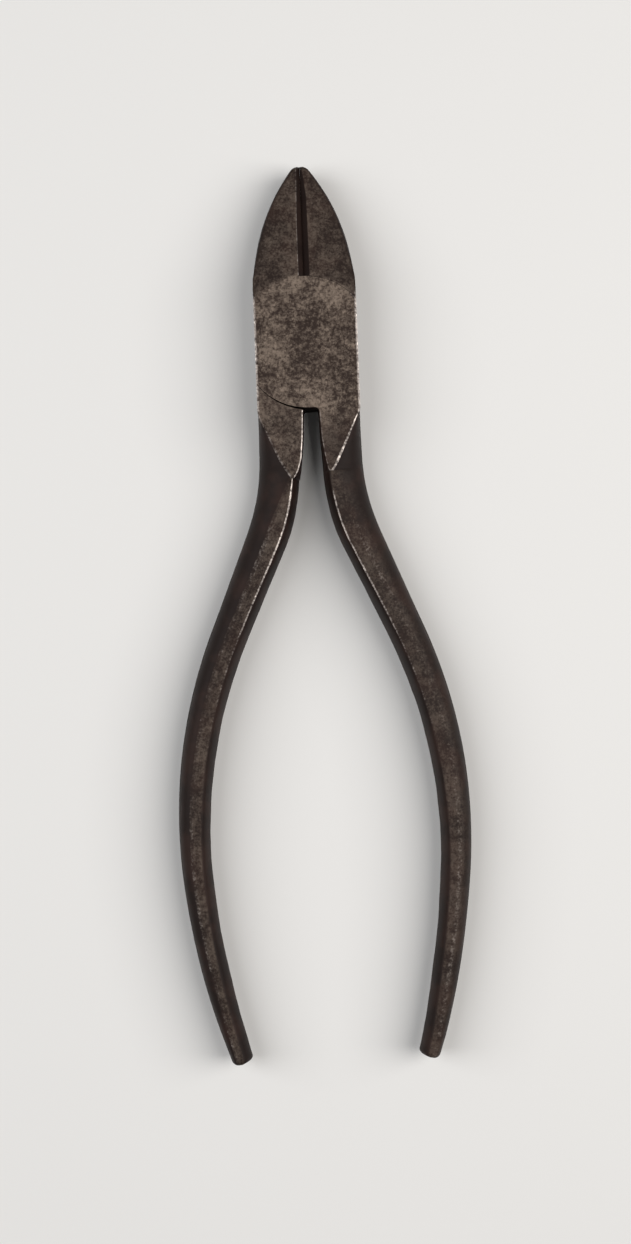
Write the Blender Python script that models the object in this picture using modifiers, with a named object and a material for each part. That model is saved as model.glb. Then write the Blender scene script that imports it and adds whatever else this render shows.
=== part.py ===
"""Small side cutters with a lap joint: two forged steel levers that cross at one flush rivet.

The upper lever is the left jaw, the upper half of the joint and the right handle. The lower lever is
the right jaw, the lower half of the joint and the left handle. Each lever is modelled in its own frame,
with its half of the joint at the top, and the lower one is then turned over about the Y axis.

Metres, +Z up. The rivet stands on the Z axis, the jaw tips point along +Y, and the joint's underside
lies at Z = 0. The cutters are closed.
"""

import math

import bmesh
import bpy
from mathutils import Matrix, Vector

MM = 0.001

# Head
TIP_Y = 25.3 * MM  # from the rivet's axis to the jaw tips
JOINT_THICKNESS = 8.0 * MM
MIDDLE = JOINT_THICKNESS / 2  # height of the lap faces and of the handles' parting line
HEAD_HALF_WIDTH = 7.24 * MM
NOSE_RADIUS = 29.0 * MM  # side of each jaw, tangent to the straight side of the joint
NOSE_START_Y = 7.3 * MM
TIP_RADIUS = 1.2 * MM
LAP_RADIUS = 9.35 * MM  # the round shoulders that each half of the joint turns inside
LAP_GAP = 0.3 * MM
EDGE_GAP = 0.2 * MM  # between the two cutting edges

# Jaws
JAW_SLOPE_Y = 8.0 * MM  # where the jaw faces start to slope towards the tip
TIP_FRONT_Z = 5.5 * MM
TIP_BACK_Z = 2.3 * MM
EDGE_Y = 9.4 * MM  # heel of the cutting edges
EDGE_HEEL_Z = 7.0 * MM
EDGE_TIP_Z = 5.2 * MM
FRONT_BEVEL = math.radians(45)  # from the vertical, on the side the user sees
BACK_BEVEL = math.radians(20)

# Rivet
RIVET_RADIUS = 2.4 * MM
RIVET_HEAD_RADIUS = 3.0 * MM
RIVET_HEAD_DEPTH = 0.9 * MM
RIVET_CLEARANCE = 0.08 * MM

# Ground tabs that run from the joint onto the handles
TAB_CORNER = (7.24 * MM, -10.2 * MM)
TAB_TIP = (2.6 * MM, -18.8 * MM)
TAB_FLANK = math.radians(58)  # slope of the forged shoulder outside a tab
ROOT_END_Y = -19.0 * MM
UPPER_SLOT = (1.44 * MM, 2.2 * MM)  # distance of the slot's edge from the centre line: top, bottom
LOWER_SLOT = (0.83 * MM, 1.9 * MM)

# Handles
HANDLE_X = 4.46 * MM
HANDLE_START_Y = -12.0 * MM
BOW_START_Y = -16.2 * MM
BOW_RADIUS = 29.6 * MM  # first bend, outwards
BOW_ANGLE = math.radians(23.5)
BOW_STRAIGHT = 14.1 * MM
GRIP_RADIUS = 71.9 * MM  # long bend back
GRIP_ANGLE = math.radians(-5.7)
TAIL_RADIUS = 123.4 * MM  # gentler bend in to the end
HANDLE_END_Y = -101.7 * MM
ROOT_WIDTH = 5.7 * MM
SHOULDER_WIDTH = 6.0 * MM
SHOULDER_LENGTH = 12.0 * MM
END_WIDTH = 3.95 * MM
END_ROUNDING = 1.7 * MM
OVAL_RATIO = 1.4  # height of the handle's oval over its width
OUTER_SHARE = 0.56  # part of the oval's width that lies outside the ridge
BAND_ROOT_HEIGHT = 3.75 * MM  # half-height of the flattened oval at the joint, and at the end
BAND_END_HEIGHT = 2.6 * MM
BAND_LEAD = 10.0 * MM  # how far the flats' taper is carried up into the joint

# How finely curves are drawn, and how far cutters reach past what they cut
PATH_STEP = 3.0 * MM
OVAL_POINTS = 20
ARC_POINTS = 24
TIP_POINTS = 6
END_POINTS = 6
DISC_POINTS = 96
TURN_STEPS = 64
SHARP_EDGE = math.radians(30)  # faces that meet at more than this keep a sharp edge
WELD = 0.002 * MM
CUTTER_REACH = 60 * MM
CUTTER_LIFT = 3 * MM

# Finishes: colour, roughness, metallic
FORGED_STEEL = ((0.085, 0.062, 0.052), 0.48, 0.9)
GROUND_STEEL = ((0.11, 0.085, 0.072), 0.42, 0.9)


def empty_the_file():
    for old in list(bpy.data.objects):
        bpy.data.objects.remove(old, do_unlink=True)


def new_collection(name):
    group = bpy.data.collections.new(name)
    bpy.context.scene.collection.children.link(group)
    return group


def steel(name, colour, roughness, metallic):
    material = bpy.data.materials.new(name)
    material.use_nodes = True
    shader = material.node_tree.nodes["Principled BSDF"]
    shader.inputs["Base Color"].default_value = (*colour, 1.0)
    shader.inputs["Roughness"].default_value = roughness
    shader.inputs["Metallic"].default_value = metallic
    return material


def arc(centre, radius, start, stop, count):
    """Points on a circle from one angle to another, both ends included."""
    points = []
    for i in range(count + 1):
        angle = start + (stop - start) * i / count
        points.append((centre[0] + radius * math.cos(angle), centre[1] + radius * math.sin(angle)))
    return points


def flat_solid(name, outline, low, high, group):
    """A closed outline in XY filled and extruded from one height to another, as a mesh."""
    curve = bpy.data.curves.new(name, "CURVE")
    curve.dimensions = "2D"
    curve.fill_mode = "BOTH"
    curve.extrude = (high - low) / 2
    spline = curve.splines.new("POLY")
    spline.points.add(len(outline) - 1)
    for point, (x, y) in zip(spline.points, outline):
        point.co = (x, y, 0, 1)
    spline.use_cyclic_u = True
    drawn = bpy.data.objects.new(name, curve)
    drawn.location.z = (high + low) / 2
    group.objects.link(drawn)
    return made_mesh(drawn, group)


def made_mesh(drawn, group):
    """The mesh of a curve object, its caps welded and its round stretches smooth, in the curve's place."""
    bpy.context.view_layer.update()
    graph = bpy.context.evaluated_depsgraph_get()
    mesh = bpy.data.meshes.new_from_object(drawn.evaluated_get(graph))
    welded = bmesh.new()
    welded.from_mesh(mesh)
    bmesh.ops.remove_doubles(welded, verts=welded.verts, dist=WELD)
    bmesh.ops.recalc_face_normals(welded, faces=welded.faces)
    welded.to_mesh(mesh)
    welded.free()
    mesh.shade_smooth()
    mesh.set_sharp_from_angle(angle=SHARP_EDGE)
    name = drawn.name
    place = drawn.matrix_world.copy()
    bpy.data.objects.remove(drawn, do_unlink=True)
    solid = bpy.data.objects.new(name, mesh)
    solid.matrix_world = place
    group.objects.link(solid)
    return solid


def block(name, size, place, turn, group):
    """A box cutter: its size, then turned, then moved so that its corner or side lies where stated."""
    bpy.ops.mesh.primitive_cube_add(size=1)
    box = bpy.context.object
    box.name = name
    box.matrix_world = place @ turn @ Matrix.Diagonal((*size, 1))
    into(box, group)
    return box


def into(thing, group):
    for old in list(thing.users_collection):
        old.objects.unlink(thing)
    group.objects.link(thing)


def hide(cutter):
    cutter.hide_render = True
    cutter.display_type = "WIRE"


def combine(piece, other, operation):
    """Adds a live Boolean of the given kind."""
    step = piece.modifiers.new(other.name, "BOOLEAN")
    step.operation = operation
    step.solver = "EXACT"
    step.object = other
    hide(other)


# ---------------------------------------------------------------- head


def jaw_side():
    """The left jaw's outline from its rounded tip down to the straight side of the joint."""
    nose = Vector((NOSE_RADIUS - HEAD_HALF_WIDTH, NOSE_START_Y))
    rise = TIP_Y - TIP_RADIUS - NOSE_START_Y
    reach = NOSE_RADIUS - TIP_RADIUS  # between the centres of two circles that touch from inside
    tip = Vector((nose.x - math.sqrt(reach**2 - rise**2), TIP_Y - TIP_RADIUS))
    touch = math.atan2(tip.y - nose.y, tip.x - nose.x)
    start = math.acos((-EDGE_GAP / 2 - tip.x) / TIP_RADIUS)
    rounding = arc(tip, TIP_RADIUS, start, touch, TIP_POINTS)
    return rounding[:-1] + arc(nose, NOSE_RADIUS, touch, math.pi, ARC_POINTS)


def head_outline(slot):
    """One lever's head seen from above: left jaw, joint plate and right handle root."""
    plate = LAP_RADIUS - LAP_GAP / 2
    side = math.acos(HEAD_HALF_WIDTH / plate)
    slot_top, slot_bottom = slot
    points = jaw_side()
    points += arc((0, 0), plate, math.pi + side, 1.5 * math.pi + math.asin(slot_top / plate), ARC_POINTS)
    points += [(slot_bottom, ROOT_END_Y), (HEAD_HALF_WIDTH, ROOT_END_Y)]
    points += arc((0, 0), plate, side, math.pi / 2 + math.asin(EDGE_GAP / 2 / plate), ARC_POINTS)
    return points


def lap_cutter(name, group):
    """A disc that clears the other lever's half of the joint."""
    depth = MIDDLE + LAP_GAP / 2 + CUTTER_LIFT
    radius = LAP_RADIUS + LAP_GAP / 2
    bpy.ops.mesh.primitive_cylinder_add(vertices=DISC_POINTS, radius=radius, depth=depth)
    disc = bpy.context.object
    disc.name = name
    disc.location.z = MIDDLE + LAP_GAP / 2 - depth / 2
    into(disc, group)
    return disc


def slope_cutter(name, start_z, tip_z, up, group):
    """A box whose face is the slope of one jaw face, on the upper (up = 1) or lower (up = -1) side."""
    fall = math.atan2(tip_z - start_z, TIP_Y - JAW_SLOPE_Y)
    place = Matrix.Translation((0, JAW_SLOPE_Y, start_z))
    turn = Matrix.Rotation(fall, 4, "X") @ Matrix.Translation((0, 0, up * CUTTER_REACH / 2))
    return block(name, (CUTTER_REACH, CUTTER_REACH * 2, CUTTER_REACH), place, turn, group)


def edge_cutter(name, heel_z, tip_z, bevel, up, group):
    """A long wedge whose sharp corner runs along the cutting edge and opens up or down."""
    reach = CUTTER_REACH / 4
    half = reach * math.tan(bevel)
    wedge = flat_solid(name, [(0, 0), (half, reach), (-half, reach)], 0, CUTTER_REACH, group)
    climb = math.atan2(tip_z - heel_z, TIP_Y - EDGE_Y)
    stand = Matrix.Rotation(math.pi / 2, 4, "X")
    if up < 0:
        stand = Matrix.Rotation(math.pi, 4, "Y") @ stand
    # The prism now runs along -Y from the edge's heel; it is slid so that it starts at the heel.
    slide = Matrix.Translation((0, CUTTER_REACH, 0))
    wedge.matrix_world = (
        Matrix.Translation((0, EDGE_Y, heel_z)) @ Matrix.Rotation(climb, 4, "X") @ slide @ stand
        @ wedge.matrix_world
    )
    return wedge


def flank_cutter(name, up, group):
    """A box whose face is the sloping shoulder outside a ground tab."""
    corner = Vector(TAB_CORNER)
    along = Vector(TAB_TIP) - corner
    heading = math.atan2(along.y, along.x)
    level = JOINT_THICKNESS if up > 0 else 0
    place = Matrix.Translation((corner.x, corner.y, level)) @ Matrix.Rotation(heading, 4, "Z")
    tip_over = Matrix.Rotation(-up * TAB_FLANK, 4, "X")
    shift = Matrix.Translation((0, 0, up * CUTTER_REACH / 2))
    return block(name, (CUTTER_REACH * 2, CUTTER_REACH, CUTTER_REACH), place @ tip_over, shift, group)


def rivet_profile(grow):
    """Half the rivet's outline, top to bottom: countersunk head, shank, countersunk tail."""
    shank = RIVET_RADIUS + grow
    head = RIVET_HEAD_RADIUS + grow
    top = JOINT_THICKNESS
    return [(head, top), (shank, top - RIVET_HEAD_DEPTH), (shank, RIVET_HEAD_DEPTH), (head, 0)]


def turned(name, profile, group):
    """A closed solid of revolution about Z from a profile that starts and ends on the axis."""
    mesh = bpy.data.meshes.new(name)
    corners = [(0, 0, profile[0][1])] + [(r, 0, z) for r, z in profile] + [(0, 0, profile[-1][1])]
    mesh.from_pydata(corners, [(i, i + 1) for i in range(len(corners) - 1)], [])
    piece = bpy.data.objects.new(name, mesh)
    group.objects.link(piece)
    spin = piece.modifiers.new("turned", "SCREW")
    spin.steps = TURN_STEPS
    spin.render_steps = TURN_STEPS
    spin.use_merge_vertices = True
    spin.merge_threshold = WELD
    spin.use_smooth_shade = True
    return piece


def rivet_hole(name, group):
    profile = rivet_profile(RIVET_CLEARANCE)
    head = profile[0][0]
    open_ended = [(head, JOINT_THICKNESS + CUTTER_LIFT)] + profile + [(head, -CUTTER_LIFT)]
    return turned(name, open_ended, group)


# ---------------------------------------------------------------- handle


def handle_path():
    """Centre line of the right handle as (x, y, length so far), from the joint to the end."""
    x, y, heading, run = HANDLE_X, HANDLE_START_Y, 0.0, 0.0
    stations = [(x, y, run)]
    bends = [
        (HANDLE_START_Y - BOW_START_Y, 0.0),
        (BOW_RADIUS * BOW_ANGLE, 1 / BOW_RADIUS),
        (BOW_STRAIGHT, 0.0),
        (GRIP_RADIUS * (BOW_ANGLE - GRIP_ANGLE), -1 / GRIP_RADIUS),
        (CUTTER_REACH, -1 / TAIL_RADIUS),
    ]
    for length, curvature in bends:
        count = max(1, round(length / PATH_STEP))
        step = length / count
        for _ in range(count):
            middle = heading + curvature * step / 2
            if y - step * math.cos(middle) < HANDLE_END_Y:
                step = (y - HANDLE_END_Y) / math.cos(middle)
            x += step * math.sin(middle)
            y -= step * math.cos(middle)
            heading += curvature * step
            run += step
            stations.append((x, y, run))
            if y <= HANDLE_END_Y + WELD:
                return stations
    return stations


def handle_width(run, total):
    if run < SHOULDER_LENGTH:
        return ROOT_WIDTH + (SHOULDER_WIDTH - ROOT_WIDTH) * run / SHOULDER_LENGTH
    share = (run - SHOULDER_LENGTH) / (total - SHOULDER_LENGTH)
    return SHOULDER_WIDTH + (END_WIDTH - SHOULDER_WIDTH) * share


def oval_outline():
    """The handle's section at unit width: a full outer side and a slimmer inner side."""
    points = []
    for i in range(OVAL_POINTS):
        angle = 2 * math.pi * i / OVAL_POINTS
        across = math.cos(angle)
        share = OUTER_SHARE if across < 0 else 1 - OUTER_SHARE
        points.append((across * share + OUTER_SHARE - 0.5, math.sin(angle) * OVAL_RATIO / 2))
    return points


def oval_curve(group):
    curve = bpy.data.curves.new("handle_section", "CURVE")
    curve.dimensions = "2D"
    spline = curve.splines.new("POLY")
    outline = oval_outline()
    spline.points.add(len(outline) - 1)
    for point, (x, y) in zip(spline.points, outline):
        point.co = (x, y, 0, 1)
    spline.use_cyclic_u = True
    section = bpy.data.objects.new("handle_section", curve)
    group.objects.link(section)
    hide(section)
    return section


def rounded_end(stations):
    """The stations as (x, y, width), the last of them closing the end in a quarter round."""
    total = stations[-1][2]
    kept = [s for s in stations if s[2] < total - END_ROUNDING]
    last = Vector(kept[-1])
    end = Vector(stations[-1])
    sections = [(x, y, handle_width(run, total)) for x, y, run in kept]
    for i in range(END_POINTS):
        turn = math.pi / 2 * i / (END_POINTS - 1)
        run = total - END_ROUNDING * (1 - math.sin(turn))
        place = last.lerp(end, (run - last.z) / (end.z - last.z))
        narrowing = 2 * END_ROUNDING * (1 - math.cos(turn))
        sections.append((place.x, place.y, handle_width(run, total) - narrowing))
    return sections


def handle_solid(name, section, group):
    sections = rounded_end(handle_path())
    curve = bpy.data.curves.new(name, "CURVE")
    curve.dimensions = "3D"
    curve.twist_mode = "Z_UP"
    curve.bevel_mode = "OBJECT"
    curve.bevel_object = section
    curve.use_fill_caps = True
    spline = curve.splines.new("POLY")
    spline.points.add(len(sections) - 1)
    for point, (x, y, width) in zip(spline.points, sections):
        point.co = (x, y, MIDDLE, 1)
        point.radius = width
    drawn = bpy.data.objects.new(name, curve)
    group.objects.link(drawn)
    return made_mesh(drawn, group)


def band_block(name, group):
    """The space between the two worn flats along the handle: a long taper seen from the side."""
    length = ROOT_END_Y - HANDLE_END_Y
    fall = (BAND_ROOT_HEIGHT - BAND_END_HEIGHT) / length
    start = -ROOT_END_Y - BAND_LEAD
    end = -HANDLE_END_Y + CUTTER_LIFT
    near = BAND_ROOT_HEIGHT + fall * BAND_LEAD
    far = BAND_END_HEIGHT - fall * CUTTER_LIFT
    outline = [(start, -near), (end, -far), (end, far), (start, near)]
    taper = flat_solid(name, outline, -CUTTER_REACH / 2, CUTTER_REACH / 2, group)
    # The outline's X becomes -Y and its Y becomes Z.
    turn = Matrix(((0, 0, 1, 0), (-1, 0, 0, 0), (0, 1, 0, MIDDLE), (0, 0, 0, 1)))
    taper.matrix_world = turn @ taper.matrix_world
    return taper


# ---------------------------------------------------------------- levers


def lever(name, slot, jaws_front_up, material, parts, cutters):
    """One lever in its own frame, with its half of the joint at the top."""
    body = flat_solid(name, head_outline(slot), 0, JOINT_THICKNESS, parts)
    if jaws_front_up:
        front, back, edge = TIP_FRONT_Z, TIP_BACK_Z, (EDGE_HEEL_Z, EDGE_TIP_Z)
        above, below = FRONT_BEVEL, BACK_BEVEL
    else:
        front, back = JOINT_THICKNESS - TIP_BACK_Z, JOINT_THICKNESS - TIP_FRONT_Z
        edge = (JOINT_THICKNESS - EDGE_HEEL_Z, JOINT_THICKNESS - EDGE_TIP_Z)
        above, below = BACK_BEVEL, FRONT_BEVEL
    combine(body, lap_cutter(name + "_lap", cutters), "DIFFERENCE")
    combine(body, slope_cutter(name + "_upper_slope", JOINT_THICKNESS, front, 1, cutters), "DIFFERENCE")
    combine(body, slope_cutter(name + "_lower_slope", 0, back, -1, cutters), "DIFFERENCE")
    combine(body, edge_cutter(name + "_upper_bevel", *edge, above, 1, cutters), "DIFFERENCE")
    combine(body, edge_cutter(name + "_lower_bevel", *edge, below, -1, cutters), "DIFFERENCE")
    combine(body, flank_cutter(name + "_upper_flank", 1, cutters), "DIFFERENCE")
    combine(body, flank_cutter(name + "_lower_flank", -1, cutters), "DIFFERENCE")
    combine(body, rivet_hole(name + "_hole", cutters), "DIFFERENCE")
    handle = handle_solid(name + "_handle", oval_curve(cutters), cutters)
    combine(handle, band_block(name + "_band", cutters), "INTERSECT")
    combine(body, handle, "UNION")
    body.data.materials.append(material)
    return body


def turn_over(body):
    """Half a turn about the Y axis through the joint's middle."""
    middle = Matrix.Translation((0, 0, MIDDLE))
    over = middle @ Matrix.Rotation(math.pi, 4, "Y") @ middle.inverted()
    for step in body.modifiers:
        step.object.matrix_world = over @ step.object.matrix_world
        for inner in step.object.modifiers:
            if inner.type == "BOOLEAN":
                inner.object.matrix_world = over @ inner.object.matrix_world
    body.matrix_world = over @ body.matrix_world


def build():
    empty_the_file()
    parts = new_collection("side_cutters")
    cutters = new_collection("cutters")
    forged = steel("dark_forged_steel", *FORGED_STEEL)
    ground = steel("ground_steel", *GROUND_STEEL)
    lever("upper_lever", UPPER_SLOT, True, forged, parts, cutters)
    lower = lever("lower_lever", LOWER_SLOT, False, forged, parts, cutters)
    turn_over(lower)
    rivet = turned("pivot_rivet", rivet_profile(0.0), parts)
    rivet.data.materials.append(ground)


build()
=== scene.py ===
# %% [markdown]
# # Small side cutters, dressed for a picture
#
# The tool is three pieces of steel: two forged levers and the rivet they turn on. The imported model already
# holds them at their true size, so this lesson starts by loading it and noting the box that it fills. All
# that follows stays inside that box.

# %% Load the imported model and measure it
import math

import bmesh
import bpy
import numpy as np
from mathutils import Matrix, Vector


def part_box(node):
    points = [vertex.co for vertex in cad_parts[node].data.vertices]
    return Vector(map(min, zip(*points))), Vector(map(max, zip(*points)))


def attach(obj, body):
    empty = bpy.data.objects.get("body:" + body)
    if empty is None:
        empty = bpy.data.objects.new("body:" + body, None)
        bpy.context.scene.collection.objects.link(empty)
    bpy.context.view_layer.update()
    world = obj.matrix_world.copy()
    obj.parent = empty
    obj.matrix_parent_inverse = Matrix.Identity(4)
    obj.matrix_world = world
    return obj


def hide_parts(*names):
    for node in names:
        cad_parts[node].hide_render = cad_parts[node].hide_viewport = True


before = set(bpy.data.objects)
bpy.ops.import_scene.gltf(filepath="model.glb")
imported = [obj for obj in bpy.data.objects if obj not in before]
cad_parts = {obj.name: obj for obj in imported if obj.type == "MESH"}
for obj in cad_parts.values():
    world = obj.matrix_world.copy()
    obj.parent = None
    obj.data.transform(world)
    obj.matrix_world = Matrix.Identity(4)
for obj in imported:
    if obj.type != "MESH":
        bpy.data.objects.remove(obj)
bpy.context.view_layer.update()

# %% [markdown]
# ## Sizes
#
# Lengths in this file are in millimetres until a piece is finished, because a maker thinks of a pair of
# cutters that way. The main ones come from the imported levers: how far the jaws reach past the rivet, how far
# down the handles go, how thick the joint is and how wide the head. The others are this lesson's own.

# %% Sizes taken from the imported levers
MM = 0.001
lever_low, lever_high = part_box("upper_lever")
rivet_low, rivet_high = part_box("pivot_rivet")
TIP_Y = lever_high.y / MM
END_Y = lever_low.y / MM
THICK = lever_high.z / MM
HALF = THICK / 2
HEAD = -lever_low.x / MM
RIVET = rivet_high.x / MM
print(f"tip {TIP_Y:.2f}, end {END_Y:.2f}, thickness {THICK:.2f}, half head {HEAD:.2f}, rivet {RIVET:.2f}")

# %% The joint's own sizes
RIM = 9.33  # radius of the half plate where it meets the other jaw
RIM_BELOW = 9.14  # and where it meets the other handle
SHOULDER = 9.38  # radius of the round shoulder behind each jaw
GAP_BELOW = (0.02, 0.34)  # gap above each handle: at the side of the head, and at the slot
SLOT_FILLET = 0.6  # radius of the slot's inside corner
LAP = 0.06  # half the gap between the two plates
EDGE = 0.0015  # half the gap between the closed cutting edges
print(f"each plate is {2 * RIM:.2f} mm across its rim and {HALF - LAP:.2f} mm thick")

# %% [markdown]
# ## A lever as one long skin
#
# A lever is one forging that changes its section all the way along: a wedge with a cutting edge at the jaw,
# a half-thickness plate at the joint, a flat-topped root and then a long oval bar. It could be cut from
# blocks, but the skin would be coarse and its edges knife sharp. Here it is a surface of two parameters
# instead: one runs along the lever from the tip to the end of the handle, the other runs round the section.
#
# Each section is a ring of eight corners. Seen from the handle's end they go round like this: top left, top
# right, right middle, bottom right, two corners of the step at the lap, bottom left, left middle. Every
# corner is a position across the lever and a height, and it has a rounding and a wear of its own. The side
# that starts there has a bulge, and says how clean and how roughly forged it is and how much painted shade
# darkens it. Spill is how far the finish of the side before runs on past a corner before it has faded.

# %% A table of sections
CORNERS = ("top_left", "top_right", "right", "low_right", "step_a", "step_b", "low_left", "left")
FIELDS = ("rounding", "bulge", "wear", "polish", "forged", "painted_shade", "spill")
ROUNDING = 0.12  # of a corner where nothing else is said


class Run:
    """A run of sections: where each one stands, which way it faces, its eight corners and their fields."""

    def __init__(self, y, x=0.0, turn=0.0, **corners):
        y = np.atleast_1d(np.asarray(y, float))
        self.place = np.stack(np.broadcast_arrays(x, y, turn), axis=1).astype(float)
        pairs = [np.stack(np.broadcast_arrays(*corners[c], y)[:2], axis=1) for c in CORNERS]
        self.corners = np.stack(pairs, axis=1).astype(float)
        self.fields = {field: np.zeros((len(y), len(CORNERS))) for field in FIELDS}
        self.put("rounding", **dict.fromkeys(CORNERS, ROUNDING))

    def put(self, field, **values):
        """Sets one field at named corners, to a number or to one number for each section."""
        for corner, value in values.items():
            self.fields[field][:, CORNERS.index(corner)] = value
        return self


def joined(runs):
    """All runs of one lever, end to end, as one table of places, one of corners and one of each field."""
    table = {name: np.concatenate([getattr(run, name) for run in runs]) for name in ("place", "corners")}
    return table | {field: np.concatenate([run.fields[field] for run in runs]) for field in FIELDS}


print(f"a section has {len(CORNERS)} corners, and each of them has {len(FIELDS)} fields")

# %% [markdown]
# ## The jaw
#
# From above a jaw is a straight side that turns into a long arc and ends in a small round tip. Both arcs are
# circles that touch, so the outline is three formulas side by side. Both cutting edges are bevelled on both
# faces: a narrow bevel in front and a wide one behind.

# %% Outline of a jaw
NOSE = 29.0  # radius of the jaw's outer side
NOSE_Y = 7.3  # where that arc starts
TIP = 1.2  # radius of the tip
tip_y = TIP_Y - TIP
tip_x = NOSE - HEAD - math.sqrt((NOSE - TIP) ** 2 - (tip_y - NOSE_Y) ** 2)
touch = math.atan2(tip_y - NOSE_Y, tip_x - NOSE + HEAD)
touch_y = NOSE_Y + NOSE * math.sin(touch)


def jaw_side(y):
    """Half width at y: the head's half width, then NOSE's circle, then the tip's circle."""
    nose = np.sqrt(np.maximum(NOSE**2 - np.maximum(y - NOSE_Y, 0) ** 2, 0)) - (NOSE - HEAD)
    tip = np.sqrt(np.maximum(TIP**2 - (y - tip_y) ** 2, 0)) - tip_x
    return np.where(y > touch_y, tip, nose)


print("half width of a jaw 5 and 10 mm from the tip:", jaw_side(np.array([TIP_Y - 5, TIP_Y - 10])).round(2))

# %% [markdown]
# The two levers are the same shape, one of them turned over, but their jaws are not: both narrow bevels lie
# on the front of the closed tool. So the upper lever has its narrow bevel on top and the lower lever, before
# it is turned over, has it underneath. The roots of the handles were also ground by hand, one a little
# wider than the other.

# %% What differs between the two levers
LEVERS = {
    "upper": {
        "front_up": True,  # its narrow bevel is on top
        "groove_at": (0, 0.5, 1),  # share of the jaw from the tip, and half width of the front bevel there
        "groove": (0.48, 0.7, 0.72),
        "tab_end": -18.0,  # where the ground tab has its point
        "slot_y": (-9.1, -13.6, -16.3, -17.6, -18.0),  # inner edge of the tab, along the slot
        "slot_x": (1.44, 1.69, 2.1, 2.4, 2.56),
        "slot_mid": (1.3, 1.42, 1.62, 1.68, 1.7),  # the same edge at half thickness
        "tab_y": (-9.4, -10.1, -17.2, -18.0),  # outer edge of the tab
        "tab_x": (7.24, 7.02, 3.55, 2.98),
        "groove_wear_and_glint": 0.55,  # wear of the line where a bevel meets the face, higher where it faces the right lamp as a painted highlight
        "shine": 0.3,  # how clean the tab is, where the joint is 1
        "band_shine": 0.28,  # and the band along the bar
        "painted_shade": 0.6,  # how much painted shade darkens the front bevel, and the one behind it
        "inner_wear_and_glint": 0.5,  # wear of the tab's edge at the slot, and painted highlight where it faces the right lamp
        "outer_wear_and_glint": 0.72,  # and of its other edge, likewise
        # wear of the bar's ridge, at lengths down the handle
        "rubbed": ((1.8, 0.1), (3.6, 0.1), (5.5, 0.75), (16, 0.7), (28, 0.45), (42, 0.35), (52, 0.12)),
        "sway": 0.35,  # how far outwards the handle's end stands off the common line
    },
    "lower": {
        "front_up": False,
        "groove_at": (0, 0.1, 0.28, 1),
        "groove": (0.18, 0.45, 0.76, 0.84),
        "tab_end": -18.8,
        "slot_y": (-9.1, -13.0, -16.3, -17.8, -18.8),
        "slot_x": (0.83, 1.0, 1.31, 1.8, 2.42),
        "slot_mid": (0.72, 0.85, 1.2, 1.42, 1.62),
        "tab_y": (-9.6, -10.6, -17.0, -18.8),
        "tab_x": (7.24, 6.98, 4.05, 2.75),
        "groove_wear_and_glint": 0.12,
        "shine": 0.62,
        "band_shine": 0.38,
        "painted_shade": 0.9,
        "inner_wear_and_glint": 0.85,
        "outer_wear_and_glint": 0.5,
        "rubbed": ((2.6, 0.8), (16, 0.75), (28, 0.45), (42, 0.35), (52, 0.12)),
        "sway": -0.25,
    },
}
for name, lever in LEVERS.items():
    print(f"{name} lever: its tab's point is {-lever['tab_end']:.1f} mm below the rivet")

# %% How thick a jaw is
TIP_HALF = 1.6  # half the jaw's thickness at the tip
SOFT_START = 0.5  # over how much length the slope begins
TIP_EASED = 0.6  # how much length is rounded off at the tip
TIP_LEFT = 0.45  # the share of the thickness that this leaves at the very end


def beyond_rim(x, y):
    """How far a point lies past the joint's round rim, towards the tip."""
    rim = np.sqrt(np.maximum(RIM**2 - np.minimum(np.abs(x), RIM) ** 2, 0))
    return np.maximum(y - rim, 0) * (y > 0)


def half_height(x, y):
    """Half the thickness: the joint's, less a slope that starts softly at the rim and falls evenly to the
    tip, where the last of it is rounded off like a quarter circle."""
    past = np.sqrt(beyond_rim(x, y) ** 2 + SOFT_START**2) - SOFT_START
    slope = (HALF - TIP_HALF) * past / (TIP_Y - RIM - SOFT_START)
    left = np.clip((TIP_Y - y) / TIP_EASED, 0, 1)
    return (HALF - slope) * (TIP_LEFT + (1 - TIP_LEFT) * np.sqrt(1 - (1 - left) ** 2))


thickness = 2 * half_height(np.zeros(2), np.array([TIP_Y - 5, TIP_Y - 10]))
print("thickness of a jaw 5 and 10 mm from the tip:", thickness.round(2))

# %% The jaw's sections
HOLLOW = (0.8, 2.5)  # half width of the back bevel at the tip and at the heel
BEVEL_DEPTH = 1.5  # how deep the front bevel is at most
LEAN = 0.42  # how far the ground faces stand in from the side near the tip


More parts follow.
